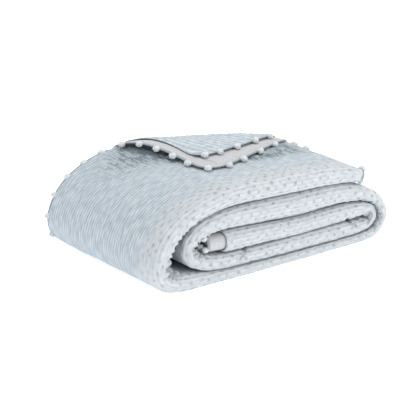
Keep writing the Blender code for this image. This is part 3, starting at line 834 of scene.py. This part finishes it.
# Washed cotton: light streaks along the rows of stitching, crinkles 6.4 mm apart with painted shade in
# their troughs, and a small prick at each stitch, where the thread draws the face in, with painted
# shade in its dimple. The front folds show the pricks most, and the broad face the crinkles.
stitched, add, shader = new_finish("stitched_washed_cotton", COTTON)
flat = add("UVMap", uv_map="cloth").outputs["UV"]
uneven = add("TexNoise", {"Vector": flat, "Scale": PATCHES, "Detail": 1.5}).outputs["Color"]
drift = add("VectorMath SUBTRACT", {0: uneven, 1: (0.5, 0.5, 0.5)})
moved = add("VectorMath SCALE", {0: drift, "Scale": STRAY})
sewn = add("VectorMath ADD", {0: flat, 1: moved})
pricks = []
for shift in ((0.5, 0.5, 0.0), (0.0, 0.0, 0.0)):  # even rows, then odd ones half a stitch on
    per_metre = (0.5 / ROWS_APART, 1 / STITCHES_APART, 0)
    cell = add("VectorMath MULTIPLY", {0: sewn, 1: per_metre})
    placed = add("VectorMath ADD", {0: cell, 1: shift})
    number = add("VectorMath FLOOR", {0: placed})
    hand = add("TexWhiteNoise", {"Vector": number}, noise_dimensions="3D").outputs
    by_hand = add("VectorMath MULTIPLY", {0: hand["Color"], 1: (0.24, 0.34, 0)})
    part = add("VectorMath FRACTION", {0: placed})
    middle = add("VectorMath SUBTRACT", {0: part, 1: (0.62, 0.67, 0)})
    off = add("VectorMath ADD", {0: middle, 1: by_hand})
    size = (2 * ROWS_APART / PRICK_WIDE, STITCHES_APART / PRICK_LONG, 0)
    sized = add("VectorMath MULTIPLY", {0: off, 1: size})
    away = add("VectorMath LENGTH", {0: sized})
    near = add("MapRange", {0: away, 1: 1.0, 2: 0.3}, interpolation_type="SMOOTHSTEP")
    strong = add("MapRange", {0: hand["Value"], 3: 0.25, 4: 1.0})
    pricks.append(add("Math MULTIPLY", {0: near, 1: strong}))
every_prick = add("Math MAXIMUM", {0: pricks[0], 1: pricks[1]})
across = add("SeparateXYZ", {0: flat})
off_fold = add("Math SUBTRACT", {0: across, 1: FOLDED_AT})
off_fold = add("Math ABSOLUTE", {0: off_fold})
fading = {0: off_fold, 1: FOLD_ENDS, 2: FOLD_SEEN, 3: OFF_FOLD, 4: 1.0}
by_fold = add("MapRange", fading, interpolation_type="SMOOTHSTEP")
prick = add("Math MULTIPLY", {0: every_prick, 1: by_fold})
straying = {0: drift, 1: (CRINKLE_STRAY, 0.0, 0.0), 2: flat}
wandering = add("VectorMath MULTIPLY_ADD", straying)
along_rows = add("VectorMath MULTIPLY", {0: wandering, 1: (1.0, 0.32, 0.0)})
streaks = add("TexNoise", {"Vector": along_rows, "Scale": STREAKS, "Detail": 1.0})
low_streak = add("MapRange", {0: by_fold, 1: OFF_FOLD, 2: 1.0, 3: 0.28, 4: 0.62})
streak = add("MapRange", {0: streaks, 1: 0.35, 2: 0.65, 3: low_streak})
per_metre = (2 * math.pi / CRINKLES_APART, 0, 0)
row_turn = add("VectorMath MULTIPLY", {0: wandering, 1: per_metre})
row_wave = add("VectorMath COSINE", {0: row_turn})
row_part = add("SeparateXYZ", {0: row_wave})
# painted shade along the crinkle troughs, weaker on the front folds
row = add("MapRange", {0: row_part, 1: 0.3, 2: 1.0})
row_share = add("MapRange", {0: by_fold, 1: OFF_FOLD, 2: 1.0, 3: 0.50, 4: 0.08})
row_shade = add("Math MULTIPLY", {0: row, 1: row_share})
# the painted crease shade that the cloth's points carry
creased = add("Attribute", attribute_name="creased").outputs["Fac"]
across_rows = add("VectorMath MULTIPLY", {0: sewn, 1: (0.22, 1.0, 0.0)})
ripples = add("TexNoise", {"Vector": across_rows, "Scale": STREAKS, "Detail": 1.0})
ripple = add("MapRange", {0: ripples, 1: 0.52, 2: 0.36}, interpolation_type="SMOOTHSTEP")
# painted shade in the wrinkle troughs, where the cloth carries crease shade
wrinkle = add("Math MULTIPLY", {0: ripple, 1: creased})
# painted light: the front folds take the greyer lit tint
washed = add("Mix", {0: by_fold, 6: linear(FACE_LIGHT), 7: linear(LIT_FOLD_TINT)}, data_type="RGBA")
body = add("Mix", {0: streak, 6: linear(FACE_DEEP), 7: washed}, data_type="RGBA")
with_rows = add("Mix", {0: row_shade, 6: body, 7: linear(SHADE_AND_SEAM_COLOUR)}, data_type="RGBA")
# painted shade: pricks, wrinkle troughs and creases darken the colour
shade = layered(add, (prick, 0.66), (wrinkle, 0.62), (creased, 0.22))
coloured = add("Mix", {0: shade, 6: with_rows, 7: linear(SHADE_AND_SEAM_COLOUR)}, data_type="RGBA")
weave = woven(add, flat)
sunk = (row, -0.0007), (prick, -0.0009), (wrinkle, -0.0012)
clad(add, shader, coloured, (streak, 0.0010), *sunk, (weave, 0.00005))

# Undyed cotton: flat and warm grey, a fine weave, and the hem's row of small stitches.
plain, add, shader = new_finish("plain_cotton_backing", COTTON)
flat = add("UVMap", uv_map="cloth").outputs["UV"]
mottled = add("TexNoise", {"Vector": flat, "Scale": 420.0, "Detail": 3.0})
mottle = add("MapRange", {0: mottled, 1: 0.3, 2: 0.7})
shades = {0: mottle, 6: linear(BACKING_DEEP), 7: linear(BACKING_LIGHT)}
body = add("Mix", shades, data_type="RGBA")
parts = add("SeparateXYZ", {0: flat})
from_end = add("Math SUBTRACT", {0: STRIP, 1: parts.outputs[1]})
from_edge = add("Math MINIMUM", {0: parts.outputs[0], 1: from_end})
off_seam = add("Math SUBTRACT", {0: from_edge, 1: HEM_STITCH})
off_seam = add("Math ABSOLUTE", {0: off_seam})
seam = add("MapRange", {0: off_seam, 1: 0.0016, 2: 0.0002})
seam_shade = add("Math MULTIPLY", {0: seam, 1: 0.3})
hemmed = add("Mix", {0: seam_shade, 6: body, 7: linear(SHADE_AND_SEAM_COLOUR)}, data_type="RGBA")
clad(add, shader, hemmed, (mottle, 0.0002), (seam, -0.0005), (woven(add, flat), 0.00008))

mesh.materials.append(stitched)
mesh.materials.append(plain)


# The pompom trim
# Cotton yarn pompoms on a narrow woven tape, sewn on by hand round one long side of the quilt and
# both its ends. It is made in stretches, each ending where its hem goes out of sight in a fold.
TAPE_INWARD = -0.0012  # from the cloth's edge
TAPE_OUTWARD = 0.0047
TAPE_HALF_THICK = 0.00055
TAPE_OUTLINE = ((0, -1), (0, 1), (0.5, 1.25), (1, 1), (1, -1), (0.5, -1.25))
TAPE_STEP = 0.0045
TAPE_FOLLOWS = 0.6  # how much of a pompom's lift the tape's outer edge takes
POMPOM_OUT = 0.0070
POMPOM_SIZE = np.array([0.0066, 0.0062, 0.0053])  # half its length, width and height
POMPOM_PITCH = 0.0405
LAST_CLEAR = 0.004  # from the last pompom to the end of a stretch, at least
CLEAR = 0.0004
OVER_FLOOR = 0.0012
GATHER = 0.54  # how far the hollow's pompoms are drawn to one height
GATHER_HEIGHT = 0.0733
END_DROP = 0.008
TUFTS = 90
TUFT_RINGS = ((0.90, 0.075), (1.05, 0.065))  # how far out and how thick, for a radius of 1
GOLDEN_TURN = 2.39996


class Edge:
    """A hem's edge: points along it, and the way outward at each."""

    def __init__(self, points, outward):
        self.points = points
        self.outward = outward / np.linalg.norm(outward, axis=1)[:, None]
        gaps = np.linalg.norm(np.diff(points, axis=0), axis=1)
        self.along = np.hstack([[0], np.cumsum(gaps)])
        self.length = float(self.along[-1])

    def at(self, distance):
        """The point at a distance along it, and the way outward there."""
        point, out = (
            np.array([np.interp(distance, self.along, column) for column in rows.T])
            for rows in (self.points, self.outward)
        )
        return point, out / np.linalg.norm(out)


def side_edge():
    """The outermost ply's side, from the inner end to where its corner is turned over."""
    s = np.arange(OUTER_PLY_SHORT, STRIP, 0.005)
    points = in_roll(s, SIDE[1], ply_middle(1) * roll_at(s)[2] / PLIES)
    past = by_crease(points[:, 0], points[:, 1])[1]
    stop = int(np.argmax((s > TOP_START) & (past > -0.002)))
    return Edge(points[:stop], np.tile([0.0, 1.0, 0.0], (stop, 1)))


def turned_edge(which, side=True):
    """A turned ply's side and end, round its corner, where they lie past the bend."""
    deep = SIDE[which]
    s = np.arange(TOP_START if side else STRIP - 0.03, STRIP, 0.004)
    depths = np.arange(deep, 0.2, -0.004)
    s_all = np.hstack([s, np.full(len(depths), STRIP)])
    new_s, new_depth = near_loose_end(s_all, np.hstack([np.full(len(s), deep), depths]), which)
    points = in_roll(new_s, new_depth, ply_middle(which) * roll_at(new_s)[2] / PLIES)
    past = by_crease(points[:, 0], points[:, 1])[1]
    loose = past * PULL[which][1] > math.pi * BEND_RADIUS[which] + PAST_BEND
    points = turned_over(points[loose], which, 0.0)
    way = np.gradient(points, axis=0)
    return Edge(points, np.stack([way[:, 1], -way[:, 0], np.zeros(len(way))], axis=1))


def end_edge(s, first, last, toward):
    """An end of the cloth, between two places given as a part of the path and a depth."""
    pitch = roll_at(np.array([s]))[2] / PLIES
    places = []
    for piece, depth in (first, last):
        share = NARROWER if s > TOP_START and 0 < piece < len(PATH) - 1 else 0.0
        near, far = path_at(np.array([piece, piece + 0.9999]), pitch)[0][0] * (1 - share)
        places.append(piece + (depth - near) / (far - near))
    q = np.linspace(*places, 90)
    depth, offset = (rows[0] for rows in path_at(q, pitch))
    narrower = NARROWER * (s > TOP_START) * ((q > 1) & (q < len(PATH) - 1))
    points = in_roll(np.full(len(q), s), depth * (1 - narrower), offset)
    _, _, _, nx, nz = roll_at(s)
    return Edge(points, np.tile([nz * toward, 0, -nx * toward], (len(q), 1)))


def upper_side(x, y, turned):
    """The height of the top layer's face, or of the turned outermost ply's backing."""
    height = top_height(x, y, 1) + CLOTH_SHARE * roll_at(STRIP - 0.1)[2] / PLIES / 2
    if turned:
        along, past = by_crease(x, y)
        height = height + turned_lift(1, along, max(-past, 0.0))
    return float(height)


def over_floor(middle):
    """How far to lift a pompom so that it lies on the floor, and not in it."""
    return max(POMPOM_SIZE[2] + OVER_FLOOR - middle[2], 0.0)


def over_cloth(turned):
    """The same as a function for the top layer, or for the turned outermost ply."""

    def rise(middle):
        height = upper_side(middle[0], middle[1], turned) + POMPOM_SIZE[2] + CLEAR
        return max(height - middle[2], 0.0)

    return rise


def hanging(middle):
    """How far the loose end's pompoms hang, apart from those at the front and far back."""
    drop = smooth((middle[1] - 0.016) / 0.02) * smooth((0.17 - middle[1]) / 0.04)
    return float(-END_DROP * drop * smooth((middle[2] - 0.122) / 0.016))


def gathered(middle):
    """How far the hollow's lower pompoms are pressed up, least at the front."""
    share = GATHER * (0.3 + 0.7 * smooth((middle[1] - 0.012) / 0.01))
    return share * max(GATHER_HEIGHT - middle[2], 0.0)


def make_pompom(seed):
    """A pompom of radius 1: a lumpy ball of cut yarn, with loose tufts standing off it."""
    chance = random.Random(seed)
    ball = bmesh.new()
    bmesh.ops.create_icosphere(ball, subdivisions=4, radius=1.0)
    points, faces = [], [[v.index for v in f.verts] for f in ball.faces]
    for vert in ball.verts:
        way = vert.co.normalized()
        clumps = noise.noise(way * 6.5 + Vector((seed, 0, 0)))
        lump = noise.noise(way * 2.1 + Vector((0, seed, 0)))
        points.append(way * (1.0 + 0.13 * lump + 0.16 * abs(clumps)))
    ball.free()
    for i in range(TUFTS):
        level_z = 1 - 2 * (i + 0.5) / TUFTS
        round_z = i * GOLDEN_TURN + chance.uniform(-0.3, 0.3)
        ring = math.sqrt(1 - level_z**2)
        way = Vector((ring * math.cos(round_z), ring * math.sin(round_z), level_z))
        side = way.orthogonal().normalized()
        side.rotate(Matrix.Rotation(chance.uniform(0, 6.28), 3, way))
        other = way.cross(side)
        bend = side * chance.uniform(-0.09, 0.09) + other * chance.uniform(-0.09, 0.09)
        base = len(points)
        for reach, thick in TUFT_RINGS:
            for k in range(3):
                turn = 2 * math.pi * k / 3
                off = (side * math.cos(turn) + other * math.sin(turn)) * thick
                points.append(way * reach + bend * (reach - 0.8) + off)
        points.append(way * chance.uniform(1.10, 1.18) + bend)
        for k in range(3):
            after = (k + 1) % 3
            faces.append([base + k, base + after, base + 3 + after, base + 3 + k])
            faces.append([base + 3 + k, base + 3 + after, base + 6])
    return np.array([tuple(p) for p in points]), faces


POMPOMS = [make_pompom(seed) for seed in range(6)]


def flecked(name, look, scale, span, deep, light, high):
    """A finish with soft flecks of two shades, scale to a metre, that also raise it."""
    finish, add, shader = new_finish(name, look)
    place = add("TexCoord").outputs["Object"]
    flecks = add("TexNoise", {"Vector": place, "Scale": scale, "Detail": 2.0})
    fleck = add("MapRange", {0: flecks, 1: span[0], 2: span[1]})
    body = add("Mix", {0: fleck, 6: linear(deep), 7: linear(light)}, data_type="RGBA")
    clad(add, shader, body, (fleck, high))
    return finish


# Brushed cotton yarn: nearly white, soft and matt, with random darker flecks as painted shade between
# its tufts.
fluffy = {**COTTON, "Sheen Weight": 0.3}
yarn = flecked("brushed_cotton_yarn", fluffy, 900.0, (0.3, 0.65), "#b4bbc0", "#e8eaec", 0.0005)
# Ribbed cotton tape: blue-grey, the dark line that shows between the pompoms.
tape = flecked("ribbed_cotton_tape", COTTON, 700.0, (0.0, 1.0), "#6f7a81", "#98a3aa", 0.0003)


def make_trim(node, edge, marks, rise, off=POMPOM_OUT):
    """Tape along an edge, with a pompom at each mark, raised as the rise function says."""
    points, faces = [], []
    count = len(TAPE_OUTLINE)
    for distance in np.arange(0, edge.length, TAPE_STEP):
        point, out = edge.at(distance)
        lift = rise(point + out * off) * TAPE_FOLLOWS
        way = edge.at(min(distance + 0.001, edge.length))[0] - edge.at(max(distance - 0.001, 0))[0]
        up = np.cross(out, way)
        up = up / np.linalg.norm(up)
        base = len(points)
        for share, half in TAPE_OUTLINE:
            reach = TAPE_INWARD + (TAPE_OUTWARD - TAPE_INWARD) * share
            spot = point + out * reach + up * half * TAPE_HALF_THICK
            points.append(spot + np.array([0, 0, lift * share]))
        if base:
            for k in range(count):
                after = (k + 1) % count
                faces.append([base - count + k, base - count + after, base + after, base + k])
    faces.append(list(range(len(points) - count, len(points))))
    faces.append(list(range(count - 1, -1, -1)))
    tape_faces = len(faces)
    for i, mark in enumerate(marks):
        point, out = edge.at(mark)
        middle = point + out * off
        middle = middle + np.array([0, 0, rise(middle)])
        ahead = np.cross([0, 0, 1.0], out)
        ahead = ahead / max(np.linalg.norm(ahead), 1e-6)
        ways = np.array([ahead, out, np.cross(ahead, out)])
        shape, shape_faces = POMPOMS[i % len(POMPOMS)]
        chance = random.Random(31 * i + len(node))
        turn = np.array(Matrix.Rotation(chance.uniform(0, 6.28), 3, "Z").to_3x3())
        size = POMPOM_SIZE * chance.uniform(0.93, 1.05)
        base = len(points)
        points.extend((shape @ turn) * size @ ways + middle)
        faces.extend([[base + k for k in face] for face in shape_faces])
    finish = [1] * tape_faces + [0] * (len(faces) - tape_faces)
    trim = new_object("pompoms_" + node, smooth_mesh(node, np.array(points), faces, finish))
    trim.data.materials.append(yarn)
    trim.data.materials.append(tape)
    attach(trim, "root")
    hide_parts(node)


def even_marks(edge, first):
    """Distances along an edge, a pompom pitch apart, up to just before its end."""
    more = math.floor((edge.length - LAST_CLEAR - first) / POMPOM_PITCH)
    return [first + i * POMPOM_PITCH for i in range(more + 1)]


# The marks that aren't evenly spaced follow the photograph.
edge = side_edge()
make_trim("trim_back", edge, even_marks(edge, 0.036), over_floor, 0.0030)
edge = turned_edge(1)
marks = [m for m in even_marks(edge, 0.010) if m < edge.length / 2]
for gap in (0.038, 0.046, 0.060, 0.060):  # on the corner's far side
    marks.append(marks[-1] + gap)
make_trim("trim_turned", edge, marks, over_cloth(False))
edge = turned_edge(2, side=False)
marks = [m for m in (0.0175, 0.050, 0.1005, 0.160, 0.215) if m < edge.length - LAST_CLEAR]
make_trim("trim_turned_upper", edge, marks, over_cloth(True))
edge = end_edge(STRIP, (0, 0.203), (2, 0.25), 1)
marks = [0.004, 0.0375, 0.072, *even_marks(edge, 0.107)]
make_trim("trim_end_outer", edge, marks, hanging, 0.0098)
edge = end_edge(STRIP, (4, 0.25), (4, 0.03), 1)
make_trim("trim_end_middle", edge, even_marks(edge, 0.0125), lambda middle: 0.0)
edge = end_edge(0.0, (12, 0.30), (14, 0.30), -1)
marks = [*even_marks(edge, 0.033), 0.290]  # and one more that shows in the roll's hollow
make_trim("trim_inner", edge, marks, gathered)

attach(quilt, "root")
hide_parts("quilt")


# Studio
# A plain white floor and a pale sky, with a broad key light low on the right and another
# overhead, as the photograph's soft shadows say.
FLOOR_HEIGHT = -0.0003  # just below the cloth's underside
FLOOR_CORNERS = ((-8, -8), (8, -8), (8, 8), (-8, 8))

# White paper: matt, and bright enough of itself to stay plain under the quilt's soft shadow.
white = new_finish("white_paper", {
    "Base Color": linear("#fafafa"),
    "Roughness": 0.95,
    "Specular IOR Level": 0.1,
    "Emission Strength": 0.52,
})[0]
floor_mesh = bpy.data.meshes.new("floor")
floor_mesh.from_pydata([(*spot, FLOOR_HEIGHT) for spot in FLOOR_CORNERS], [], [(0, 1, 2, 3)])
floor_mesh.materials.append(white)
floor = new_object("floor", floor_mesh)

CAMERA_DOWN = 20.6  # degrees
CAMERA_TURN = -36.4
camera = new_object("camera", bpy.data.cameras.new("camera"))
camera.data.lens = 147.1
camera.location = (-1.7466, -2.3406, 1.1619)
camera.rotation_euler = (math.radians(90 - CAMERA_DOWN), 0, math.radians(CAMERA_TURN))
bpy.context.scene.camera = camera

for name, power, size, place in (  # watts, metres across, and where each stands
    ("key", 46, 1.6, Vector((1.6, -3.4, 1.5))),
    ("top", 42, 2.0, Vector((0.2, 0.4, 3.2))),
):
    light = new_object(name, bpy.data.lights.new(name, "AREA"))
    light.data.energy = power
    light.data.size = size
    light.data.color = (1.0, 0.95, 0.86)
    light.location = place
    light.rotation_euler = place.to_track_quat("Z", "Y").to_euler()
world = bpy.data.worlds.new("studio")
world.use_nodes = True
world.node_tree.nodes["Background"].inputs["Color"].default_value = linear("#fafcff")
bpy.context.scene.world = world
bpy.context.scene.view_settings.view_transform = "Standard"
